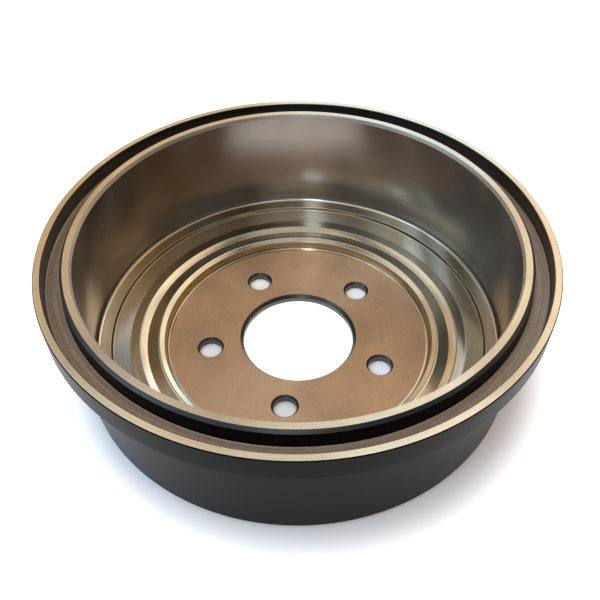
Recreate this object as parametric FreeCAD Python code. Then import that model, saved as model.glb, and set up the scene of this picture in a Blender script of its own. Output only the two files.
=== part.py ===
"""Brake drum, 254 mm friction diameter, five lug holes: one machined iron casting.

The drum stands on its wheel face with the open mouth up. Z = 0 is the wheel
face, the axis of revolution is Z. Lengths in millimetres, angles in degrees.
The section is drawn once as a closed loop of lines and arcs in the XZ plane,
turned about the axis, and the lug holes are cut through the end wall.
"""

import FreeCAD, Part

import math
import os

# Heights above the wheel face
drum_height = 90.5
outer_lip_drop = 1.2
flange_height = 15.8
hub_thickness = 5.5
friction_foot_z = 20.7
wheel_pad_height = 1.0
outer_corner_lift = 1.0

# Diameters
friction_dia = 254.0
bore_dia = 71.5
flange_dia = 296.0
wall_top_dia = 280.4
wall_foot_dia = 267.0
hub_face_dia = 168.4
wheel_pad_dia = 172.0

# Inner lip, between the friction surface and the groove
lip_flat_inner_dia = 256.2
lip_flat_outer_dia = 263.6
lip_lead_in_depth = 2.2
lip_outer_chamfer = 1.7

# Groove between the two lips
groove_outer_dia = 287.7
groove_depth = 10.8
groove_draft = 0.5
groove_fillet = 1.2

# Small edges of the flange
lip_edge_break = 0.25
flange_edge_chamfer = 0.5
flange_foot_round = 1.0
flange_wall_draft = 0.3
shoulder_fillet = 2.5
outer_corner_round = 5.0

# Foot of the friction surface and the web inside the cup
foot_fillet = 3.0
ledge_inner_dia = 236.8
ledge_fall = 1.1
ledge_step_run = 1.0
ledge_step_drop = 1.5
ledge_edge_round = 0.35
ledge_foot_round = 0.5
rim_dia = 230.4
rim_z = 14.15
rim_round = 3.0
dip_dia = 214.0
dip_z = 12.9
dip_round = 10.0
bead_dia = 209.0
bead_z = 12.9
bead_round = 6.0
bead_flank_dia = 202.4
bead_flank_z = 12.6
bead_flank_round = 12.0
bead_foot_dia = 196.4
bead_foot_z = 11.6
bead_foot_round = 14.0
valley_dia = 192.6
valley_z = 10.6
valley_round = 0.4
crest_dia = 178.8
crest_z = 13.7
crest_round = 0.4
hub_shoulder_dia = 172.6
hub_shoulder_z = 12.1
hub_shoulder_round = 3.0
hub_step_dia = 168.6
hub_step_z = 9.1
hub_step_round = 0.3
hub_step_fillet = 0.4

# Dished ring on the wheel side of the web, and the foot of the wheel pad
dish_depth = 6.5
dish_fall = 1.5
dish_inner_dia = 190.0
dish_outer_dia = 236.0
dish_outer_run = 6.0
dish_fillet = 2.5
dish_edge_round = 1.5
pad_step_run = 1.0
pad_step_round = 1.0

# Centre bore and lug holes
bore_inner_chamfer = 2.0
bore_outer_chamfer = 0.5
lug_count = 5
lug_circle_dia = 114.3
lug_hole_dia = 14.5
lug_inner_chamfer = 1.25
lug_outer_chamfer = 0.6
first_lug_angle = 45.5
cut_clearance = 1.0

# Derived radii and heights
friction_r = friction_dia / 2
bore_r = bore_dia / 2
flange_r = flange_dia / 2
outer_lip_z = drum_height - outer_lip_drop
flange_foot_z = outer_lip_z - flange_height
groove_floor_z = drum_height - groove_depth
groove_inner_r = lip_flat_outer_dia / 2 + lip_outer_chamfer
groove_outer_r = groove_outer_dia / 2
ledge_z = friction_foot_z - foot_fillet - ledge_fall


def at(radius, height):
    """Point of the section at a radius and a height."""
    return FreeCAD.Vector(radius, 0, height)


def towards(start, end, length):
    """Point on the way from start to end, at a length from start."""
    step = end.sub(start)
    return start.add(step.multiply(length / step.Length))


class Section:
    """Open chain of lines and corner arcs that closes into a face."""

    def __init__(self):
        self.corners = []

    def go(self, radius, height, fillet=0.0):
        """Add a corner, rounded with the fillet radius when it has one."""
        self.corners.append((at(radius, height), fillet))

    def edges(self):
        """Lines between the corners, with tangent arcs at the rounded ones."""
        count = len(self.corners)
        ends = []
        for index in range(count):
            before = self.corners[index - 1][0]
            corner, fillet = self.corners[index]
            after = self.corners[(index + 1) % count][0]
            ends.append(self.corner_arc(before, corner, after, fillet))
        result = []
        for index in range(count):
            start, arc, end = ends[index]
            if arc:
                result.append(arc)
            following = ends[(index + 1) % count][0]
            if end.distanceToPoint(following) > 1e-6:
                result.append(Part.LineSegment(end, following).toShape())
        return result

    def corner_arc(self, before, corner, after, fillet):
        """Start point, arc and end point of one corner."""
        if fillet <= 0:
            return corner, None, corner
        turn = before.sub(corner).getAngle(after.sub(corner))
        setback = fillet / math.tan(turn / 2)
        start = towards(corner, before, setback)
        end = towards(corner, after, setback)
        middle = start.add(end).multiply(0.5)
        centre = towards(corner, middle, fillet / math.sin(turn / 2))
        crown = towards(centre, corner, fillet)
        return start, Part.Arc(start, crown, end).toShape(), end

    def face(self):
        """Plane face bounded by the closed chain."""
        return Part.Face(Part.Wire(self.edges()))


def draw_bore_and_hub(section):
    """Bore wall with both chamfers, and the turned hub face with a fillet at its edge."""
    section.go(bore_r + bore_outer_chamfer, 0)
    section.go(bore_r, bore_outer_chamfer)
    section.go(bore_r, hub_thickness - bore_inner_chamfer)
    section.go(bore_r + bore_inner_chamfer, hub_thickness)
    section.go(hub_face_dia / 2, hub_thickness, hub_step_fillet)


def draw_web(section):
    """Web round the hub face: step, shoulder, crest, valley, the long bead, dip and rim."""
    section.go(hub_step_dia / 2, hub_step_z, hub_step_round)
    section.go(hub_shoulder_dia / 2, hub_shoulder_z, hub_shoulder_round)
    section.go(crest_dia / 2, crest_z, crest_round)
    section.go(valley_dia / 2, valley_z, valley_round)
    section.go(bead_foot_dia / 2, bead_foot_z, bead_foot_round)
    section.go(bead_flank_dia / 2, bead_flank_z, bead_flank_round)
    section.go(bead_dia / 2, bead_z, bead_round)
    section.go(dip_dia / 2, dip_z, dip_round)
    section.go(rim_dia / 2, rim_z, rim_round)
    section.go(ledge_inner_dia / 2 - ledge_step_run, ledge_z - ledge_step_drop, ledge_foot_round)


def draw_friction_cylinder(section):
    """Ledge at the foot, the friction surface and its lead-in chamfer."""
    section.go(ledge_inner_dia / 2, ledge_z, ledge_edge_round)
    section.go(friction_r, ledge_z + ledge_fall, foot_fillet)
    section.go(friction_r, drum_height - lip_lead_in_depth)


def draw_lips(section):
    """Inner lip, the groove with its rounded floor, and the outer lip."""
    section.go(lip_flat_inner_dia / 2, drum_height)
    section.go(lip_flat_outer_dia / 2, drum_height)
    section.go(groove_inner_r, drum_height - lip_outer_chamfer)
    section.go(groove_inner_r + groove_draft, groove_floor_z, groove_fillet)
    section.go(groove_outer_r - groove_draft, groove_floor_z, groove_fillet)
    section.go(groove_outer_r, outer_lip_z - lip_edge_break)
    section.go(groove_outer_r + lip_edge_break, outer_lip_z)
    section.go(flange_r - flange_edge_chamfer, outer_lip_z)


def draw_outside(section):
    """Flange wall, shoulder, tapered outer wall and the rounded outer corner."""
    section.go(flange_r, outer_lip_z - flange_edge_chamfer)
    section.go(flange_r - flange_wall_draft, flange_foot_z, flange_foot_round)
    section.go(wall_top_dia / 2, flange_foot_z, shoulder_fillet)
    section.go(wall_foot_dia / 2, outer_corner_lift, outer_corner_round)


def draw_wheel_side(section):
    """Dished ring of the web and the raised wheel pad."""
    section.go(dish_outer_dia / 2 + dish_outer_run, outer_corner_lift, dish_edge_round)
    section.go(dish_outer_dia / 2, dish_depth, dish_fillet)
    section.go(dish_inner_dia / 2, dish_depth - dish_fall, dish_fillet)
    section.go(wheel_pad_dia / 2 + pad_step_run, wheel_pad_height, pad_step_round)
    section.go(wheel_pad_dia / 2, 0)


def drum_body():
    """Closed section turned once about the axis."""
    section = Section()
    draw_bore_and_hub(section)
    draw_web(section)
    draw_friction_cylinder(section)
    draw_lips(section)
    draw_outside(section)
    draw_wheel_side(section)
    return section.face().revolve(at(0, 0), FreeCAD.Vector(0, 0, 1), 360)


def lug_hole_cutter():
    """Straight drill with a cone at each face of the hub wall."""
    hole_r = lug_hole_dia / 2
    low = -cut_clearance
    high = hub_thickness + cut_clearance
    drill = Part.makeCylinder(hole_r, high - low, at(0, low))
    top = Part.makeCone(
        hole_r, hole_r + lug_inner_chamfer + cut_clearance, lug_inner_chamfer + cut_clearance,
        at(0, hub_thickness - lug_inner_chamfer),
    )
    foot = Part.makeCone(
        hole_r + lug_outer_chamfer + cut_clearance, hole_r, lug_outer_chamfer + cut_clearance, at(0, low),
    )
    return drill.fuse([top, foot])


def lug_holes():
    """The cutter repeated round the lug circle."""
    cutters = []
    for index in range(lug_count):
        cutter = lug_hole_cutter()
        cutter.translate(at(lug_circle_dia / 2, 0))
        cutter.rotate(at(0, 0), FreeCAD.Vector(0, 0, 1), first_lug_angle + index * 360 / lug_count)
        cutters.append(cutter)
    return cutters


def brake_drum():
    """Turned body with the lug holes through it."""
    return drum_body().cut(lug_holes())


os.makedirs("parts", exist_ok=True)
brake_drum().exportStep("parts/brake_drum.step")
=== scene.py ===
"""Studio picture of a brake drum: one iron casting, turned bright inside, coated dark outside.

The drum is a surface of revolution about Z, worked out in millimetres and written to
the mesh in metres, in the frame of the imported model. It stands on its wheel face.
"""

import logging
import math
from dataclasses import dataclass, field
from enum import Enum, IntEnum

import bpy
import numpy as np
from mathutils import Matrix, Vector

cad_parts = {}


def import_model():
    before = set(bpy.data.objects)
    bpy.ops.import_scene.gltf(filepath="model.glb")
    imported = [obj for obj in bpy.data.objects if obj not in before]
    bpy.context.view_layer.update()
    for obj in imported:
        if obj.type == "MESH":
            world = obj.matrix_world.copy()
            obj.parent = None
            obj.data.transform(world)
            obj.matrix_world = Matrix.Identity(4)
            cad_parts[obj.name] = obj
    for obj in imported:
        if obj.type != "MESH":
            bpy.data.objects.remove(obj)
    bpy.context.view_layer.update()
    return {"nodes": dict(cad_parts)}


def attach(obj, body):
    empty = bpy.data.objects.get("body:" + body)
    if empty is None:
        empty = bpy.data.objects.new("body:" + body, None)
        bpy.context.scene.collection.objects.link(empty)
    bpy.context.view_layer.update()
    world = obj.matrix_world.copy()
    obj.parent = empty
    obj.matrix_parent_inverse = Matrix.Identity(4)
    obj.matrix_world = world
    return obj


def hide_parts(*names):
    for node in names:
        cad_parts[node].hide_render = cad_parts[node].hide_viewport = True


LOG = logging.getLogger("brake_drum")
MM = 0.001
# tints of the room's soft patches
DAYLIGHT = "#BFDCFF"
SKY = "#DDEBFF"
WHITE = "#FFFFFF"
LAMPLIGHT = "#FFE8CC"
EVENING = "#93BEFF"


class Zone(IntEnum):
    """Finish of a stretch of the section, in the order of the piece's materials."""

    TURNED = 0
    HUB = 1
    GROUND = 2
    GROOVE = 3
    COATED = 4
    # iron with a darker colour as painted shade: bore, lug holes, groove's outer wall, inner lip's
    # outer chamfer
    SHADED_IRON = 5
    BROKEN = 6


def linear(colour: str) -> tuple[float, float, float, float]:
    """Turn an sRGB hex colour into linear red, green, blue and alpha.

    Args:
        colour: six hex digits with a leading hash.

    Returns:
        Four numbers from 0 to 1, with alpha 1.
    """
    parts = [int(colour[i : i + 2], 16) / 255 for i in (1, 3, 5)]
    red, green, blue = (p / 12.92 if p <= 0.04045 else ((p + 0.055) / 1.055) ** 2.4 for p in parts)
    return red, green, blue, 1.0


def add_node(
    tree: bpy.types.NodeTree,
    kind: str,
    links: dict | None = None,
    **settings: object,
) -> bpy.types.Node:
    """Add one node to a tree, with its settings, socket values and links.

    Args:
        tree: the node tree of a material or of the world.
        kind: Blender's name of the node type.
        links: socket name or number to another node's output socket, or to a plain value.
        settings: attributes of the node itself.

    Returns:
        The new node.
    """
    node = tree.nodes.new(kind)
    for name, value in settings.items():
        setattr(node, name, value)
    for name, value in (links or {}).items():
        socket = node.inputs[name]
        if isinstance(value, bpy.types.NodeSocket):
            tree.links.new(value, socket)
        else:
            socket.default_value = value
    return node


def new_material(name: str) -> tuple[bpy.types.Material, bpy.types.NodeTree, bpy.types.Node]:
    """Make an empty node material.

    Args:
        name: what the finish is.

    Returns:
        The material, its tree and its output node.
    """
    material = bpy.data.materials.new(name)
    material.use_nodes = True
    tree = material.node_tree
    tree.nodes.clear()
    return material, tree, add_node(tree, "ShaderNodeOutputMaterial")


def noise(
    tree: bpy.types.NodeTree,
    vector: bpy.types.NodeSocket,
    per_metre: float,
    detail: float,
    roughness: float = 0.5,
) -> bpy.types.NodeSocket:
    """Add a fractal noise.

    Args:
        tree: the material's node tree.
        vector: coordinates in metres.
        per_metre: how many features lie on a metre.
        detail: number of finer layers.
        roughness: strength of each finer layer against the one before.

    Returns:
        The noise, from 0 to 1.
    """
    settings = {"Vector": vector, "Scale": per_metre, "Detail": detail, "Roughness": roughness}
    return add_node(tree, "ShaderNodeTexNoise", settings).outputs["Fac"]


def stretch(
    tree: bpy.types.NodeTree,
    value: bpy.types.NodeSocket,
    given: tuple[float, float],
    wanted: tuple[float, float] = (0.0, 1.0),
    curve: str = "LINEAR",
) -> bpy.types.NodeSocket:
    """Map one range of a value to another, and hold it at the ends.

    Args:
        tree: the node tree.
        value: what is mapped.
        given: the two ends of its range.
        wanted: what the two ends become.
        curve: LINEAR or SMOOTHSTEP.

    Returns:
        The mapped value.
    """
    ends = {"From Min": given[0], "From Max": given[1], "To Min": wanted[0], "To Max": wanted[1]}
    node = add_node(
        tree,
        "ShaderNodeMapRange",
        {"Value": value, **ends},
        interpolation_type=curve,
    )
    return node.outputs["Result"]


def mix_values(
    tree: bpy.types.NodeTree,
    share: object,
    first: bpy.types.NodeSocket,
    second: bpy.types.NodeSocket,
) -> bpy.types.NodeSocket:
    """Mix two plain values: share 0 is the first, share 1 the second."""
    links = {"Factor": share, "A": first, "B": second}
    return add_node(tree, "ShaderNodeMix", links, data_type="FLOAT").outputs[0]


def mix_colours(
    tree: bpy.types.NodeTree,
    share: object,
    first: object,
    second: object,
) -> bpy.types.NodeSocket:
    """Mix two colours: share 0 is the first, share 1 the second."""
    links = {"Factor": share, "A": first, "B": second}
    return add_node(tree, "ShaderNodeMix", links, data_type="RGBA").outputs[2]


def reckon(
    tree: bpy.types.NodeTree,
    operation: str,
    first: object,
    second: object,
) -> bpy.types.NodeSocket:
    """Add one step of arithmetic on two plain values, named as Blender names it."""
    return add_node(tree, "ShaderNodeMath", {0: first, 1: second}, operation=operation).outputs[0]


def vector_step(
    tree: bpy.types.NodeTree,
    operation: str,
    links: dict,
) -> bpy.types.NodeSocket:
    """Add one step of vector arithmetic that gives a vector, named as Blender names it."""
    return add_node(tree, "ShaderNodeVectorMath", links, operation=operation).outputs[0]


def ring_vector(
    tree: bpy.types.NodeTree,
    place: bpy.types.NodeSocket,
    around: float,
) -> bpy.types.NodeSocket:
    """Coordinates in which a noise is drawn out along the turning direction.

    With r the distance from the axis and z the height, the vector is (r, 0, z) plus a
    small length times the direction (x, y, 0) / r. So the pattern changes fast across the
    rings and slowly along them.

    Args:
        tree: the material's node tree.
        place: object coordinates in metres.
        around: length in metres that one radian of turn counts for.

    Returns:
        The vector socket for a texture.
    """
    split = add_node(tree, "ShaderNodeSeparateXYZ", {0: place})
    flat = add_node(tree, "ShaderNodeCombineXYZ", {0: split.outputs[0], 1: split.outputs[1]})
    radius = add_node(tree, "ShaderNodeVectorMath", {0: flat.outputs[0]}, operation="LENGTH")
    unit = vector_step(tree, "NORMALIZE", {0: flat.outputs[0]})
    short = vector_step(tree, "SCALE", {0: unit, "Scale": around})
    links = {0: radius.outputs["Value"], 2: split.outputs[2]}
    across = add_node(tree, "ShaderNodeCombineXYZ", links)
    return vector_step(tree, "ADD", {0: short, 1: across.outputs[0]})


@dataclass(frozen=True)
class TurnedIron:
    """Grey iron left bright by a lathe tool.

    Fine rings of the tool's feed draw a highlight out across the turning direction, and
    a film of oil leaves the iron warm and a little grainy, so the eye reads bare metal
    that has been wiped but not polished. The feed marks are drawn coarser than the real
    0.2 mm so that they show, and the stains are oil and finger marks.
    """

    name: str
    bright: str
    dull: str
    roughness: float
    anisotropy: float
    grain_share: float
    feed_depth_mm: float
    stain: str
    stain_share: float
    haze_share: float = 0.25
    haze_roughness: float = 0.6
    haze_anisotropy: float = 0.9
    across_the_feed: float = 0.25
    metallic: float = 1.0
    grain_mm: float = 0.7
    band_mm: float = 2.4
    band_turn_mm: float = 4.0
    feed_mm: float = 0.8
    feed_turn_mm: float = 0.8
    stains_per_metre: float = 38.0

    def colour(
        self, tree: bpy.types.NodeTree, place: bpy.types.NodeSocket
    ) -> bpy.types.NodeSocket:
        """Ring bands where the feed or the tool's edge changed, with grain and faint stains."""
        vector = ring_vector(tree, place, self.band_turn_mm * MM)
        band = noise(tree, vector, 1.0 / (self.band_mm * MM), 4.0, 0.6)
        grain = noise(tree, place, 1.0 / (self.grain_mm * MM), 3.0, 0.6)
        spread = stretch(tree, mix_values(tree, self.grain_share, band, grain), (0.34, 0.66))
        iron = mix_colours(tree, spread, linear(self.dull), linear(self.bright))
        cloud = noise(tree, place, self.stains_per_metre, 4.0, 0.55)
        share = stretch(tree, cloud, (0.45, 0.72), (0.0, self.stain_share))
        return mix_colours(tree, share, iron, linear(self.stain))

    def make(self) -> bpy.types.Material:
        """Build the material: a sharp and a hazy reflection over a feed-mark bump."""
        material, tree, output = new_material(self.name)
        place = add_node(tree, "ShaderNodeTexCoord").outputs["Object"]
        colour = self.colour(tree, place)
        vector = ring_vector(tree, place, self.feed_turn_mm * MM)
        feed = noise(tree, vector, 1.0 / (self.feed_mm * MM), 2.0)
        depth = self.feed_depth_mm * MM
        links = {"Strength": 1.0, "Distance": depth, "Height": feed}
        bump = add_node(tree, "ShaderNodeBump", links)
        tangent = add_node(tree, "ShaderNodeTangent", direction_type="RADIAL", axis="Z")
        layers = []
        for roughness, anisotropy in (
            (self.roughness, self.anisotropy),
            (self.haze_roughness, self.haze_anisotropy),
        ):
            links = {
                "Base Color": colour,
                "Metallic": self.metallic,
                "Roughness": roughness,
                "Anisotropic": anisotropy,
                "Anisotropic Rotation": self.across_the_feed,
                "Tangent": tangent.outputs[0],
                "Normal": bump.outputs[0],
            }
            layers.append(add_node(tree, "ShaderNodeBsdfPrincipled", links).outputs[0])
        links = {0: self.haze_share, 1: layers[0], 2: layers[1]}
        both = add_node(tree, "ShaderNodeMixShader", links)
        tree.links.new(both.outputs[0], output.inputs["Surface"])
        return material


@dataclass(frozen=True)
class CastFloor:
    """Raw floor of a cast groove, brown with a first bloom of rust.

    Sand-cast skin is matt and grainy, and thin rust gives it a brown that shifts in
    drawn-out bands where a tool ran past.
    """

    name: str
    light: str
    dark: str
    grain_mm: float
    grain_share: float = 0.35
    grain_depth_mm: float = 0.12
    bands_per_metre: float = 320.0
    band_turn_mm: float = 3.0
    metallic: float = 0.3
    roughness: float = 0.45

    def make(self) -> bpy.types.Material:
        """Build the material: ring bands over grain, with a grain bump."""
        material, tree, output = new_material(self.name)
        place = add_node(tree, "ShaderNodeTexCoord").outputs["Object"]
        vector = ring_vector(tree, place, self.band_turn_mm * MM)
        band = noise(tree, vector, self.bands_per_metre, 3.0, 0.65)
        grain = noise(tree, place, 1.0 / (self.grain_mm * MM), 4.0)
        spread = stretch(tree, mix_values(tree, self.grain_share, band, grain), (0.38, 0.62))
        colour = mix_colours(tree, spread, linear(self.dark), linear(self.light))
        depth = self.grain_depth_mm * MM
        links = {"Strength": 0.6, "Distance": depth, "Height": grain}
        bump = add_node(tree, "ShaderNodeBump", links)
        links = {
            "Base Color": colour,
            "Metallic": self.metallic,
            "Roughness": self.roughness,
            "Normal": bump.outputs[0],
        }
        shader = add_node(tree, "ShaderNodeBsdfPrincipled", links)
        tree.links.new(shader.outputs[0], output.inputs["Surface"])
        return material


@dataclass(frozen=True)
class BlackCoating:
    """Thin black corrosion coating over the cast skin.

    It is a satin film that follows the fine grain of the casting: nearly black seen
    square on, and grey with the room's light at a grazing view.
    """

    name: str
    black: str
    worn: str
    grain_mm: float
    roughness: float
    grain_depth_mm: float = 0.09
    clouds_per_metre: float = 24.0
    refraction: float = 1.3
    gloss: float = 0.10

    def make(self) -> bpy.types.Material:
        """Build the material: a near-black film with slow tone changes and cast grain."""
        material, tree, output = new_material(self.name)
        place = add_node(tree, "ShaderNodeTexCoord").outputs["Object"]
        slow = noise(tree, place, self.clouds_per_metre, 4.0, 0.6)
        grain = noise(tree, place, 1.0 / (self.grain_mm * MM), 5.0, 0.6)
        share = stretch(tree, slow, (0.4, 0.7), (0.0, 0.5))
        colour = mix_colours(tree, share, linear(self.black), linear(self.worn))
        range_of_gloss = (self.roughness * 0.9, self.roughness * 1.12)
        rough = stretch(tree, grain, (0.3, 0.7), range_of_gloss)
        depth = self.grain_depth_mm * MM
        links = {"Strength": 0.5, "Distance": depth, "Height": grain}
        bump = add_node(tree, "ShaderNodeBump", links)
        links = {
            "Base Color": colour,
            "Roughness": rough,
            "IOR": self.refraction,
            "Specular IOR Level": self.gloss,
            "Normal": bump.outputs[0],
        }
        shader = add_node(tree, "ShaderNodeBsdfPrincipled", links)
        tree.links.new(shader.outputs[0], output.inputs["Surface"])
        return material


@dataclass
class Corner:
    """One corner of the section: radius, height and rounding in mm.

    Its zone is the finish of what follows it.
    """

    radius: float
    height: float
    rounding: float
    zone: Zone


@dataclass
class Strip:
    """Points of an open stretch of the section, with the two normals and the zone of each step."""

    points: np.ndarray
    start_normals: np.ndarray
    end_normals: np.ndarray
    zones: np.ndarray


def strip_through(corners: list[Corner], arc_step: float) -> Strip:
    """Run an open chain of lines through corners, with tangent arcs at the rounded ones.

    At a rounded corner the arc touches both lines at the distance rounding times the
    tangent of half the turn, and its points are centre plus rounding times the unit
    vector, which turns evenly from one line's normal to the next.

    Args:
        corners: the chain, whose first and last corner are never rounded.
        arc_step: largest turn of one step on an arc, in degrees.

    Returns:
        The points and the outward normals at both ends of each step.
    """
    points, starts, ends, zones = [(corners[0].radius, corners[0].height)], [], [], []

    def step_to(point: np.ndarray, start: np.ndarray, end: np.ndarray, zone: Zone) -> None:
        """Add a point, and the normals and the zone of the step that leads to it."""
        points.append(tuple(point))
        starts.append(start)
        ends.append(end)
        zones.append(zone)

    spots = np.array([(c.radius, c.height) for c in corners], float)
    for index in range(1, len(corners)):
        here, before = spots[index], spots[index - 1]
        incoming = (here - before) / np.linalg.norm(here - before)
        normal_in = np.array([-incoming[1], incoming[0]])
        rounding = corners[index].rounding if index < len(corners) - 1 else 0.0
        zone = corners[index - 1].zone
        if rounding <= 0:
            step_to(here, normal_in, normal_in, zone)
            continue
        outgoing = spots[index + 1] - here
        outgoing = outgoing / np.linalg.norm(outgoing)
        normal_out = np.array([-outgoing[1], outgoing[0]])
        cross = incoming[0] * outgoing[1] - incoming[1] * outgoing[0]
        turn = math.atan2(cross, float(incoming @ outgoing))
        touch = here - incoming * rounding * math.tan(abs(turn) / 2)
        side = 1.0 if turn > 0 else -1.0
        centre = touch + normal_in * rounding * side
        steps = max(2, math.ceil(math.degrees(abs(turn)) / arc_step))
        angles = math.atan2(normal_in[1], normal_in[0]) + turn * np.arange(steps + 1) / steps
        normals = np.stack([np.cos(angles), np.sin(angles)], axis=1)
        arc = centre - normals * rounding * side
        step_to(touch, normal_in, normal_in, zone)
        for step in range(steps):
            finish = zone if step < steps // 2 else corners[index].zone
            step_to(arc[step + 1], normals[step], normals[step + 1], finish)
        ends[-1] = normal_out
    return Strip(np.array(points), np.array(starts), np.array(ends), np.array(zones, int))


@dataclass
class MeshParts:
    """Vertices, quads, corner normals and zones gathered for one mesh."""

    vertices: list[np.ndarray] = field(default_factory=list)
    quads: list[np.ndarray] = field(default_factory=list)
    normals: list[np.ndarray] = field(default_factory=list)
    zones: list[np.ndarray] = field(default_factory=list)
    count: int = 0

    def add_vertices(self, points: np.ndarray) -> np.ndarray:
        """Append points.

        Args:
            points: places in mm, of shape (..., 3).

        Returns:
            Their numbers, in the same shape without the last axis.
        """
        numbers = self.count + np.arange(points.reshape(-1, 3).shape[0])
        self.vertices.append(points.reshape(-1, 3))
        self.count += numbers.size
        return numbers.reshape(points.shape[:-1])

    def add_quads(self, quads: np.ndarray, normals: np.ndarray, zones: np.ndarray) -> None:
        """Append quads.

        Args:
            quads: vertex numbers, of shape (..., 4).
            normals: corner normals, of shape (..., 4, 3).
            zones: one zone for each quad.
        """
        self.quads.append(quads.reshape(-1, 4))
        self.normals.append(normals.reshape(-1, 3))
        self.zones.append(zones.reshape(-1))

    def mesh(self, name: str) -> bpy.types.Mesh:
        """Write everything to a new mesh, in metres, with its normals and material numbers."""
        vertices = np.concatenate(self.vertices) * MM
        quads = np.concatenate(self.quads)
        materials = np.concatenate(self.zones).astype(np.int32)
        mesh = bpy.data.meshes.new(name)
        mesh.vertices.add(len(vertices))
        mesh.vertices.foreach_set("co", vertices.astype(np.float32).ravel())
        mesh.loops.add(quads.size)
        mesh.loops.foreach_set("vertex_index", quads.astype(np.int32).ravel())
        mesh.polygons.add(len(quads))
        mesh.polygons.foreach_set("loop_start", np.arange(0, quads.size, 4, dtype=np.int32))
        mesh.polygons.foreach_set("material_index", materials)
        mesh.polygons.foreach_set("use_smooth", np.ones(len(quads), bool))
        mesh.update(calc_edges=True)
        mesh.validate()
        mesh.normals_split_custom_set(np.concatenate(self.normals).tolist())
        return mesh


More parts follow.
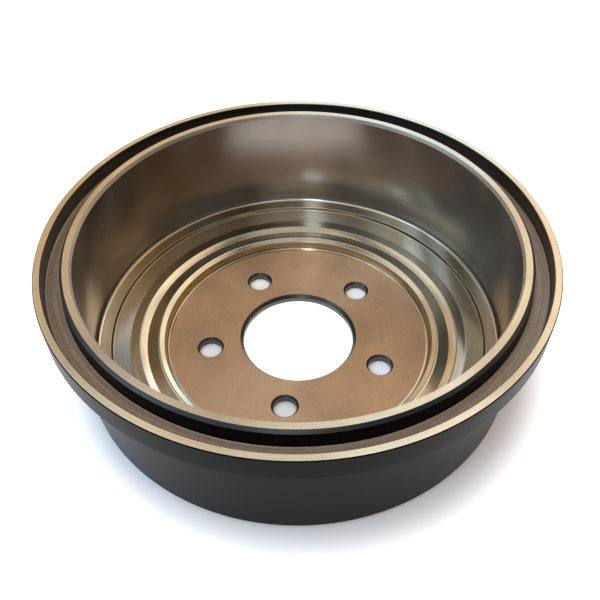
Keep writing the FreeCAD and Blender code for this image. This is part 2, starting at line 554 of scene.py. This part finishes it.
@dataclass
class BrakeDrum:
    """The whole drum: sizes in millimetres, and the methods that shape and dress it.

    A size of three numbers is a corner of the section: radius, height and rounding.
    """

    drum_height: float = 90.5
    bore_r: float = 35.75
    bore_outer_chamfer: float = 0.5
    bore_inner_chamfer: float = 2.0
    hub_thickness: float = 5.5
    hub_face_r: float = 84.6
    hub_step_fillet: float = 1.2
    hub_edge_width: float = 2.0
    hub_step: tuple[float, float, float] = (84.7, 8.4, 0.3)
    hub_shoulder: tuple[float, float, float] = (85.6, 11.0, 0.8)
    crest: tuple[float, float, float] = (89.3, 12.4, 3.0)
    valley: tuple[float, float, float] = (96.6, 10.6, 0.4)
    bead_foot: tuple[float, float, float] = (98.6, 11.45, 10.0)
    bead_flank: tuple[float, float, float] = (101.2, 12.4, 5.0)
    bead: tuple[float, float, float] = (104.5, 12.6, 8.0)
    dip: tuple[float, float, float] = (107.0, 12.7, 10.0)
    rim: tuple[float, float, float] = (115.2, 14.2, 3.0)
    ledge_foot: tuple[float, float, float] = (117.4, 14.6, 0.5)
    ledge_edge: tuple[float, float, float] = (118.4, 16.6, 0.35)
    friction_r: float = 127.0
    friction_foot_z: float = 17.7
    friction_fillet: float = 3.0
    lip_lead_in_depth: float = 2.2
    lip_flat_inner_r: float = 128.1
    lip_flat_outer_r: float = 131.8
    lip_outer_chamfer: float = 1.7
    lip_edge_break: float = 0.25
    groove_inner_r: float = 133.5
    groove_outer_r: float = 143.85
    groove_floor_z: float = 79.7
    groove_draft: float = 0.5
    groove_fillet: float = 1.2
    outer_lip_z: float = 89.3
    flange_r: float = 148.0
    flange_edge_chamfer: float = 0.5
    flange_foot_z: float = 73.5
    flange_wall_draft: float = 0.3
    flange_foot_round: float = 1.0
    wall_top_r: float = 140.2
    shoulder_fillet: float = 2.5
    outer_corner: tuple[float, float, float] = (133.5, 1.0, 5.0)
    dish_edge: tuple[float, float, float] = (124.0, 1.0, 1.5)
    dish_outer: tuple[float, float, float] = (118.0, 6.5, 2.5)
    dish_inner: tuple[float, float, float] = (95.0, 5.0, 2.5)
    pad_step: tuple[float, float, float] = (87.0, 1.0, 1.0)
    wheel_pad_r: float = 86.0
    lug_circle_r: float = 57.15
    lug_hole_r: float = 7.25
    lug_inner_chamfer: float = 1.25
    lug_outer_chamfer: float = 0.6
    lug_count: int = 5
    first_lug_angle: float = 45.5
    turns: int = 500
    arc_step: float = 9.0
    plate_steps: int = 24
    plate_shares: tuple[float, ...] = (0.0, 0.12, 0.3, 0.6)

    def web_corners(self) -> list[Corner]:
        """Section from the edge of the hub face over the web to the friction surface."""
        turned = Zone.TURNED
        return [
            Corner(self.hub_face_r - self.hub_edge_width, self.hub_thickness, 0, turned),
            Corner(self.hub_face_r, self.hub_thickness, self.hub_step_fillet, turned),
            Corner(*self.hub_step, turned),
            Corner(*self.hub_shoulder, turned),
            Corner(*self.crest, turned),
            Corner(*self.valley, turned),
            Corner(*self.bead_foot, turned),
            Corner(*self.bead_flank, turned),
            Corner(*self.bead, turned),
            Corner(*self.dip, turned),
            Corner(*self.rim, turned),
            Corner(*self.ledge_foot, turned),
            Corner(*self.ledge_edge, turned),
            Corner(self.friction_r, self.friction_foot_z, self.friction_fillet, Zone.GROUND),
        ]

    def lip_corners(self) -> list[Corner]:
        """Section of the lead-in chamfer, the inner lip, the groove and the outer lip."""
        top, foot, lip = self.drum_height, self.groove_floor_z, self.outer_lip_z
        inner_r = self.groove_inner_r + self.groove_draft
        outer_r = self.groove_outer_r - self.groove_draft
        edge = self.lip_edge_break
        return [
            Corner(self.friction_r, top - self.lip_lead_in_depth, 0, Zone.BROKEN),
            Corner(self.lip_flat_inner_r, top, 0, Zone.TURNED),
            # the inner lip's outer chamfer and the groove's outer wall take the darkened iron,
            # whose dark colour is painted shade
            Corner(self.lip_flat_outer_r, top, 0, Zone.SHADED_IRON),
            Corner(self.groove_inner_r, top - self.lip_outer_chamfer, 0, Zone.COATED),
            Corner(inner_r, foot, self.groove_fillet, Zone.GROOVE),
            Corner(outer_r, foot, self.groove_fillet, Zone.SHADED_IRON),
            Corner(self.groove_outer_r, lip - edge, 0, Zone.TURNED),
            Corner(self.groove_outer_r + edge, lip, 0, Zone.TURNED),
            Corner(self.flange_r - self.flange_edge_chamfer, lip, 0, Zone.COATED),
        ]

    def outside_corners(self) -> list[Corner]:
        """Section of the flange wall, the outer wall, the dished ring and the wheel pad."""
        coated = Zone.COATED
        foot = self.flange_foot_z
        wall_r = self.flange_r - self.flange_wall_draft
        return [
            Corner(self.flange_r, self.outer_lip_z - self.flange_edge_chamfer, 0, coated),
            Corner(wall_r, foot, self.flange_foot_round, coated),
            Corner(self.wall_top_r, foot, self.shoulder_fillet, coated),
            Corner(*self.outer_corner, coated),
            Corner(*self.dish_edge, coated),
            Corner(*self.dish_outer, coated),
            Corner(*self.dish_inner, coated),
            Corner(*self.pad_step, Zone.TURNED),
            Corner(self.wheel_pad_r, 0, 0, Zone.TURNED),
        ]

    def bore_corners(self) -> list[Corner]:
        """Section of the centre bore, from the wheel face up to the hub face."""
        shaded_iron = Zone.SHADED_IRON
        outer, inner = self.bore_outer_chamfer, self.bore_inner_chamfer
        return [
            Corner(self.bore_r + outer, 0, 0, shaded_iron),
            Corner(self.bore_r, outer, 0, shaded_iron),
            Corner(self.bore_r, self.hub_thickness - inner, 0, shaded_iron),
            Corner(self.bore_r + inner, self.hub_thickness, 0, shaded_iron),
        ]

    def angles(self) -> np.ndarray:
        """Turning angles of the grid's columns, which start midway between two lug holes."""
        start = self.first_lug_angle - 180.0 / self.lug_count
        return np.radians(start + 360.0 * np.arange(self.turns) / self.turns)

    def hole_centre(self, sector: int) -> np.ndarray:
        """Centre of a lug hole in the plane, in mm."""
        angle = math.radians(self.first_lug_angle + sector * 360.0 / self.lug_count)
        return np.array([self.lug_circle_r * math.cos(angle), self.lug_circle_r * math.sin(angle)])

    def lathe(self, parts: MeshParts, corners: list[Corner]) -> np.ndarray:
        """Turn an open stretch of the section about the axis.

        Point (i, j) is (radius i times cosine j, radius i times sine j, height i), and a
        corner normal is turned the same way.

        Args:
            parts: where the vertices and quads go.
            corners: the stretch of the section.

        Returns:
            Vertex numbers, one row for each point of the section.
        """
        strip = strip_through(corners, self.arc_step)
        turn = self.angles()
        cosine, sine = np.cos(turn), np.sin(turn)

        def turned(flat: np.ndarray, shift: int) -> np.ndarray:
            """Pairs of radius and height carried round to each column, or to the next one."""
            c, s = np.roll(cosine, -shift), np.roll(sine, -shift)
            return np.stack([flat[:, :1] * c, flat[:, :1] * s, flat[:, 1:] + 0 * c], axis=-1)

        numbers = parts.add_vertices(turned(strip.points, 0))
        beside = np.roll(numbers, -1, axis=1)
        quads = np.stack([numbers[:-1], numbers[1:], beside[1:], beside[:-1]], axis=-1)
        facing = np.stack(
            [
                turned(strip.start_normals, 0),
                turned(strip.end_normals, 0),
                turned(strip.end_normals, 1),
                turned(strip.start_normals, 1),
            ],
            axis=-2,
        )
        parts.add_quads(quads, facing, np.repeat(strip.zones[:, None], self.turns, axis=1))
        return numbers

    def plate(
        self,
        parts: MeshParts,
        inner: np.ndarray,
        outer: np.ndarray,
        hole_r: float,
        up: bool,
        zone: Zone,
    ) -> list[np.ndarray]:
        """Flat ring between two vertex rings, with a round hole in each sector.

        Each sector's border is joined to its hole by straight lines: point (k, m) is the
        hole's point k plus a share m of the way to border point k, where the hole's point
        lies in the direction of the border point from the hole's centre.

        Args:
            parts: where the vertices and quads go.
            inner: vertex numbers of the inner ring.
            outer: vertex numbers of the outer ring.
            hole_r: radius of the holes in this plane in mm.
            up: True if the plate faces up.
            zone: its finish.

        Returns:
            For each sector, the vertex numbers round its hole.
        """
        spots = np.concatenate(parts.vertices)
        span = self.turns // self.lug_count
        height = float(spots[inner[0], 2])
        inner_r = float(np.hypot(*spots[inner[0], :2]))
        outer_r = float(np.hypot(*spots[outer[0], :2]))
        side_r = np.linspace(inner_r, outer_r, self.plate_steps + 1)[1:-1]
        side_angle = self.angles()[::span][:, None]
        across, along = side_r * np.cos(side_angle), side_r * np.sin(side_angle)
        level = np.full(across.shape, height)
        sides = parts.add_vertices(np.stack([across, along, level], axis=-1))
        spots = np.concatenate(parts.vertices)
        shares = np.array(self.plate_shares)[:, None, None]
        rims = []
        for sector in range(self.lug_count):
            columns = (sector * span + np.arange(span + 1)) % self.turns
            after = (sector + 1) % self.lug_count
            border = np.concatenate(
                [inner[columns], sides[after], outer[columns][::-1], sides[sector][::-1]],
            )
            centre = self.hole_centre(sector)
            away = spots[border, :2] - centre
            rim = centre + away / np.linalg.norm(away, axis=1, keepdims=True) * hole_r
            layers = rim[None] + (spots[border, :2] - rim)[None] * shares
            heights = np.full(layers.shape[:2] + (1,), height)
            made = parts.add_vertices(np.concatenate([layers, heights], axis=-1))
            rows = np.concatenate([made, border[None]])
            beside = np.roll(rows, -1, axis=1)
            quads = np.stack([rows[:-1], beside[:-1], beside[1:], rows[1:]], axis=-1)
            if not up:
                quads = quads[..., ::-1]
            facing = np.zeros(quads.shape + (3,))
            facing[..., 2] = 1.0 if up else -1.0
            parts.add_quads(quads, facing, np.full(quads.shape[:2], int(zone)))
            rims.append(made[0])
        return rims

    def hole_wall(self, parts: MeshParts, sector: int, top: np.ndarray, foot: np.ndarray) -> None:
        """Wall of one lug hole between two rims: a chamfer, the drilled cylinder, a chamfer.

        A ring's point k is the centre plus the hole's radius times direction k of the rim
        that is nearer, and a chamfer's normal leans 45 degrees up or down.

        Args:
            parts: where the vertices and quads go.
            sector: number of the hole.
            top: vertex numbers of the rim in the hub face.
            foot: vertex numbers of the rim in the wheel face.
        """
        centre = self.hole_centre(sector)
        spots = np.concatenate(parts.vertices)
        away = (spots[top, :2] - centre, spots[foot, :2] - centre)
        upper, lower = (v / np.linalg.norm(v, axis=1, keepdims=True) for v in away)
        high = self.hub_thickness - self.lug_inner_chamfer
        rings = []
        for direction, height in ((upper, high), (lower, self.lug_outer_chamfer)):
            flat = centre + direction * self.lug_hole_r
            heights = np.full((len(flat), 1), height)
            rings.append(parts.add_vertices(np.concatenate([flat, heights], axis=1)))
        lean = math.sqrt(0.5)
        steps = (
            (top, rings[0], upper, upper, -lean, lean),
            (rings[0], rings[1], upper, lower, -1.0, 0.0),
            (rings[1], foot, lower, lower, -lean, -lean),
        )
        for first, second, start_way, end_way, outward, rise in steps:
            quads = np.stack([first, second, np.roll(second, -1), np.roll(first, -1)], axis=-1)
            rises = np.full((len(first), 1), rise)
            start = np.concatenate([start_way * outward, rises], axis=1)
            end = np.concatenate([end_way * outward, rises], axis=1)
            facing = np.stack(
                [start, end, np.roll(end, -1, axis=0), np.roll(start, -1, axis=0)],
                axis=1,
            )
            parts.add_quads(quads, facing, np.full(len(quads), int(Zone.SHADED_IRON)))

    def build(self) -> bpy.types.Object:
        """Shape the drum as one closed mesh."""
        parts = MeshParts()
        corners = self.web_corners() + self.lip_corners() + self.outside_corners()
        cup = self.lathe(parts, corners)
        bore = self.lathe(parts, self.bore_corners())
        top_r = self.lug_hole_r + self.lug_inner_chamfer
        foot_r = self.lug_hole_r + self.lug_outer_chamfer
        tops = self.plate(parts, bore[-1], cup[0], top_r, True, Zone.HUB)
        feet = self.plate(parts, bore[0], cup[-1], foot_r, False, Zone.TURNED)
        for sector in range(self.lug_count):
            self.hole_wall(parts, sector, tops[sector], feet[sector])
        return bpy.data.objects.new("drum_casting", parts.mesh("drum_casting"))

    def dress(self, drum: bpy.types.Object) -> None:
        """Give the drum its finishes, in the order of Zone."""
        turned = TurnedIron(
            name="turned grey iron",
            bright="#E6CFA9",
            dull="#D3BB96",
            roughness=0.13,
            anisotropy=0.7,
            grain_share=0.5,
            feed_depth_mm=0.0008,
            stain="#A88A66",
            stain_share=0.25,
            haze_share=0.05,
        )
        hub = TurnedIron(
            name="faced hub iron",
            bright="#EEBD8E",
            dull="#D2A274",
            roughness=0.42,
            anisotropy=0.9,
            grain_share=0.85,
            feed_depth_mm=0.002,
            stain="#957A62",
            stain_share=0.3,
            metallic=0.9,
        )
        ground = TurnedIron(
            name="ground friction iron",
            bright="#ADA59C",
            dull="#9E968C",
            roughness=0.19,
            anisotropy=0.8,
            grain_share=0.6,
            feed_depth_mm=0.001,
            stain="#82766A",
            stain_share=0.3,
            haze_share=0.14,
            haze_roughness=0.7,
        )
        groove = CastFloor(
            name="raw cast groove floor",
            light="#A38C75",
            dark="#75634F",
            grain_mm=0.9,
        )
        coating = BlackCoating(
            name="black coating on cast iron",
            black="#070708",
            worn="#0F0E0D",
            grain_mm=0.8,
            roughness=0.3,
        )
        # painted shade: a darker copy of the turned iron, for the bore, lug holes, groove's outer
        # wall and inner lip's outer chamfer; the drilled finish is rougher
        shaded_iron = TurnedIron(
            name="iron darkened as painted shade",
            bright="#7A736A",
            dull="#5E5750",
            roughness=0.3,
            anisotropy=0.3,
            grain_share=0.5,
            feed_depth_mm=0.002,
            stain="#4E4740",
            stain_share=0.4,
        )
        broken = TurnedIron(
            name="broken edge of turned iron",
            bright="#F0DCC0",
            dull="#DCC6A8",
            roughness=0.5,
            anisotropy=0.9,
            grain_share=0.5,
            feed_depth_mm=0.0005,
            stain="#B89C7C",
            stain_share=0.2,
        )
        for finish in (turned, hub, ground, groove, coating, shaded_iron, broken):
            drum.data.materials.append(finish.make())


class Spread(Enum):
    """Angles off a patch's centre where it starts to fade and where it ends, in degrees."""

    LAMP = (1.5, 5.0)
    SPOT = (3.0, 10.0)
    NARROW = (3.0, 12.0)
    ROUND = (3.0, 14.0)
    SOFT = (3.0, 15.0)
    BROAD = (4.0, 20.0)
    WIDE = (4.0, 26.0)


@dataclass(frozen=True)
class Patch:
    """Soft bright patch of the room: where it is, how wide, its colour and its level.

    Azimuth 0 is away from the camera and 90 is to its right, elevation 90 is overhead.
    """

    azimuth: float
    elevation: float
    spread: Spread
    colour: str
    level: float


@dataclass(frozen=True)
class Lamp:
    """Square soft lamp: its centre and side in metres, its power and its colour."""

    name: str
    place: tuple[float, float, float]
    side: float
    watts: float
    colour: str


@dataclass
class Studio:
    """Pale floor, soft lamps and the camera at the photograph's viewing angle.

    Lengths are in metres, angles in degrees. The room is dark but for its patches.
    """

    camera_place: tuple[float, float, float] = (0.0, -0.32654, 0.37418)
    pan: float = 0.2325
    tilt: float = 45.800
    roll: float = 0.4205
    focal_px: float = 754.05
    frame_px: float = 600.0
    sensor_mm: float = 36.0
    clip_start: float = 0.01
    floor_half: float = 3.0
    # painted light and shade on the floor: the glow's ramp, shift and bore spot paint shade at the
    # drum's foot and light under the bore
    backdrop_glow_and_painted_light: float = 0.6
    painted_shade_start: float = 0.132
    painted_shade_end: float = 0.162
    painted_shade_shift: tuple[float, float, float] = (0.006, 0.0, 0.0)
    painted_bore_light_end: float = 0.042
    lamp_target: tuple[float, float, float] = (0.0, 0.0, 0.04)
    lamps: tuple[Lamp, ...] = (
        Lamp("overhead softbox", (0.0, 0.0, 1.4), 1.2, 7.0, "#FFEDCF"),
        Lamp("front softbox", (0.0, -1.3, 1.1), 0.7, 3.0, "#FFF0CC"),
        Lamp("left softbox", (-0.9, -0.9, 1.0), 0.6, 6.0, "#DDF4FF"),
        Lamp("right softbox", (0.9, -0.9, 1.0), 0.6, 4.0, "#FFC890"),
    )
    patches: tuple[Patch, ...] = (
        # behind the drum, from low to high
        Patch(-50.0, 14.0, Spread.SOFT, WHITE, 1.0),
        Patch(-30.0, 14.0, Spread.SOFT, WHITE, 0.3),
        Patch(50.0, 14.0, Spread.SOFT, WHITE, 1.0),
        Patch(-30.0, 26.0, Spread.SOFT, LAMPLIGHT, 0.1),
        Patch(-10.0, 26.0, Spread.SOFT, WHITE, 0.7),
        Patch(10.0, 26.0, Spread.SOFT, DAYLIGHT, 2.4),
        Patch(30.0, 26.0, Spread.SOFT, LAMPLIGHT, 0.8),
        Patch(50.0, 26.0, Spread.SOFT, LAMPLIGHT, 0.1),
        Patch(-50.0, 37.0, Spread.SOFT, EVENING, 0.3),
        Patch(-30.0, 37.0, Spread.SOFT, LAMPLIGHT, 0.5),
        Patch(-10.0, 37.0, Spread.SOFT, LAMPLIGHT, 0.3),
        Patch(10.0, 37.0, Spread.SOFT, EVENING, 0.2),
        Patch(30.0, 37.0, Spread.SOFT, WHITE, 0.9),
        Patch(-30.0, 48.0, Spread.SOFT, SKY, 0.4),
        Patch(30.0, 48.0, Spread.SOFT, WHITE, 0.6),
        Patch(50.0, 48.0, Spread.SOFT, LAMPLIGHT, 0.1),
        Patch(8.0, 50.0, Spread.SPOT, DAYLIGHT, 0.5),
        Patch(-50.0, 60.0, Spread.SOFT, SKY, 0.3),
        Patch(-30.0, 60.0, Spread.SOFT, SKY, 1.0),
        Patch(-10.0, 60.0, Spread.SOFT, LAMPLIGHT, 0.3),
        Patch(10.0, 60.0, Spread.SOFT, SKY, 0.8),
        Patch(30.0, 60.0, Spread.SOFT, SKY, 0.8),
        Patch(50.0, 60.0, Spread.SOFT, LAMPLIGHT, 0.6),
        Patch(4.0, 64.0, Spread.NARROW, DAYLIGHT, 0.3),
        # overhead
        Patch(110.0, 68.0, Spread.BROAD, WHITE, 0.5),
        Patch(180.0, 68.0, Spread.BROAD, SKY, 1.2),
        Patch(-110.0, 70.0, Spread.BROAD, SKY, 1.2),
        Patch(0.0, 82.0, Spread.ROUND, SKY, 0.8),
        # to the left
        Patch(-135.0, 20.0, Spread.WIDE, SKY, 0.3),
        Patch(-100.0, 20.0, Spread.WIDE, DAYLIGHT, 0.9),
        Patch(-72.0, 20.0, Spread.WIDE, DAYLIGHT, 0.6),
        Patch(-135.0, 46.0, Spread.WIDE, EVENING, 0.4),
        Patch(-100.0, 46.0, Spread.WIDE, DAYLIGHT, 1.1),
        # to the right
        Patch(72.0, 14.0, Spread.WIDE, WHITE, 0.3),
        Patch(100.0, 20.0, Spread.WIDE, WHITE, 0.2),
        Patch(135.0, 20.0, Spread.WIDE, DAYLIGHT, 0.3),
        Patch(74.0, 44.0, Spread.WIDE, LAMPLIGHT, 0.4),
        # behind the camera
        Patch(180.0, 20.0, Spread.WIDE, SKY, 0.9),
        # small bright lamps
        Patch(190.0, 48.0, Spread.LAMP, DAYLIGHT, 10.0),
        Patch(-98.0, 55.0, Spread.LAMP, EVENING, 6.0),
        Patch(-75.0, 55.0, Spread.LAMP, EVENING, 4.0),
        Patch(196.0, 68.0, Spread.LAMP, EVENING, 10.0),
    )

    def camera(self) -> None:
        """Place the camera: pan about Z, then tilt down, then roll about the view axis."""
        pan, tilt, roll = (math.radians(a) for a in (self.pan, self.tilt, self.roll))
        level = math.cos(tilt)
        ahead = Vector((math.sin(pan) * level, math.cos(pan) * level, -math.sin(tilt)))
        right = Vector((math.cos(pan), -math.sin(pan), 0.0))
        down = ahead.cross(right)
        across = right * math.cos(roll) + down * math.sin(roll)
        below = down * math.cos(roll) - right * math.sin(roll)
        lens = bpy.data.cameras.new("camera")
        lens.sensor_width = self.sensor_mm
        lens.sensor_fit = "HORIZONTAL"
        lens.lens = self.focal_px / self.frame_px * lens.sensor_width
        lens.clip_start = self.clip_start
        camera = bpy.data.objects.new("camera", lens)
        camera.matrix_world = Matrix(
            (
                (across.x, -below.x, -ahead.x, self.camera_place[0]),
                (across.y, -below.y, -ahead.y, self.camera_place[1]),
                (across.z, -below.z, -ahead.z, self.camera_place[2]),
                (0, 0, 0, 1),
            )
        )
        bpy.context.scene.collection.objects.link(camera)
        bpy.context.scene.camera = camera

    def painted_floor_light(self, tree: bpy.types.NodeTree) -> bpy.types.NodeSocket:
        """Strength of a white glow painted on the floor, for the camera and in reflections only.

        Far out it whitens the backdrop evenly. Nearer the axis it fades to nothing, which paints
        the ring of shade at the drum's foot, set off to the right by the shift. Under the centre
        bore it is full, a painted pool of light on floor that lies in the drum's shade, and in
        reflections it is a painted reflection of that light and shade.
        """
        place = add_node(tree, "ShaderNodeTexCoord").outputs["Object"]
        shifted = vector_step(tree, "SUBTRACT", {0: place, 1: self.painted_shade_shift})
        length = add_node(tree, "ShaderNodeVectorMath", {0: shifted}, operation="LENGTH")
        distance = length.outputs["Value"]
        ends, levels = (self.painted_shade_start, self.painted_shade_end), (0.0, self.backdrop_glow_and_painted_light)
        rise = stretch(tree, distance, ends, levels, "SMOOTHSTEP")
        middle = reckon(tree, "LESS_THAN", distance, self.painted_bore_light_end)
        inner = reckon(tree, "MULTIPLY", middle, self.backdrop_glow_and_painted_light)
        rays = add_node(tree, "ShaderNodeLightPath").outputs
        direct = reckon(tree, "MAXIMUM", rays["Is Camera Ray"], rays["Is Glossy Ray"])
        return reckon(tree, "MULTIPLY", direct, reckon(tree, "MAXIMUM", inner, rise))

    def floor(self) -> None:
        """Lay a wide pale floor that keeps the drum's shadow, under a glow with painted shade at
        the foot and painted light under the bore.
        """
        half = self.floor_half
        corners = [(-half, -half, 0), (half, -half, 0), (half, half, 0), (-half, half, 0)]
        mesh = bpy.data.meshes.new("floor")
        mesh.from_pydata(corners, [], [(0, 1, 2, 3)])
        floor = bpy.data.objects.new("floor", mesh)
        bpy.context.scene.collection.objects.link(floor)
        material, tree, output = new_material("pale floor")
        paint = add_node(tree, "ShaderNodeBsdfDiffuse", {"Color": linear("#F4F4F4")})
        # painted light: the floor's glow, shaped to paint shade at the drum's foot and a pool of
        # light under the bore
        links = {"Color": linear(WHITE), "Strength": self.painted_floor_light(tree)}
        glow = add_node(tree, "ShaderNodeEmission", links)
        both = add_node(tree, "ShaderNodeAddShader", {0: paint.outputs[0], 1: glow.outputs[0]})
        tree.links.new(both.outputs[0], output.inputs["Surface"])
        mesh.materials.append(material)

    def hang(self, lamp: Lamp) -> None:
        """Add one soft lamp that faces the drum and isn't mirrored in it."""
        data = bpy.data.lights.new(lamp.name, "AREA")
        data.shape = "RECTANGLE"
        data.size = data.size_y = lamp.side
        data.energy = lamp.watts
        data.color = linear(lamp.colour)[:3]
        hung = bpy.data.objects.new(lamp.name, data)
        hung.location = lamp.place
        hung.visible_glossy = False
        way = Vector(self.lamp_target) - Vector(lamp.place)
        hung.rotation_euler = way.to_track_quat("-Z", "Y").to_euler()
        bpy.context.scene.collection.objects.link(hung)

    def room(self) -> None:
        """Build the dark room with its soft bright patches, and white behind all for the camera.

        Each patch fades by the angle off its centre, and the patches add up.
        """
        world = bpy.data.worlds.new("room")
        bpy.context.scene.world = world
        world.use_nodes = True
        tree = world.node_tree
        tree.nodes.clear()
        way = add_node(tree, "ShaderNodeTexCoord").outputs["Generated"]
        total = (0.0, 0.0, 0.0)
        for patch in self.patches:
            turn, rise = math.radians(patch.azimuth), math.radians(patch.elevation)
            level = math.cos(rise)
            axis = (math.sin(turn) * level, math.cos(turn) * level, math.sin(rise))
            links = {0: way, 1: axis}
            near = add_node(tree, "ShaderNodeVectorMath", links, operation="DOT_PRODUCT")
            core, edge = (math.cos(math.radians(a)) for a in patch.spread.value)
            cosine = near.outputs["Value"]
            share = stretch(tree, cosine, (edge, core), (0.0, patch.level), "SMOOTHSTEP")
            lit = vector_step(tree, "SCALE", {0: linear(patch.colour)[:3], "Scale": share})
            total = vector_step(tree, "ADD", {0: lit, 1: total})
        rays = add_node(tree, "ShaderNodeLightPath").outputs
        seen = mix_colours(tree, rays["Is Camera Ray"], total, linear(WHITE))
        back = add_node(tree, "ShaderNodeBackground", {"Color": seen, "Strength": 1.0})
        output = add_node(tree, "ShaderNodeOutputWorld")
        tree.links.new(back.outputs[0], output.inputs["Surface"])

    def set_up(self) -> None:
        """Build floor, lamps, room and camera, and the plain view transform."""
        self.floor()
        for lamp in self.lamps:
            self.hang(lamp)
        self.room()
        self.camera()
        bpy.context.scene.view_settings.view_transform = "Standard"


def main() -> None:
    """Build the drum and its studio in order."""
    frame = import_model()
    drum = BrakeDrum()
    casting = drum.build()
    bpy.context.scene.collection.objects.link(casting)
    drum.dress(casting)
    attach(casting, "root")
    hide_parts("brake_drum")
    LOG.info("%s: %d faces", casting.name, len(casting.data.polygons))
    Studio().set_up()
    LOG.info("%d nodes of the model are stood for", len(frame["nodes"]))


if __name__ == "__main__":
    logging.basicConfig(level=logging.INFO, format="%(name)s: %(message)s")
    main()
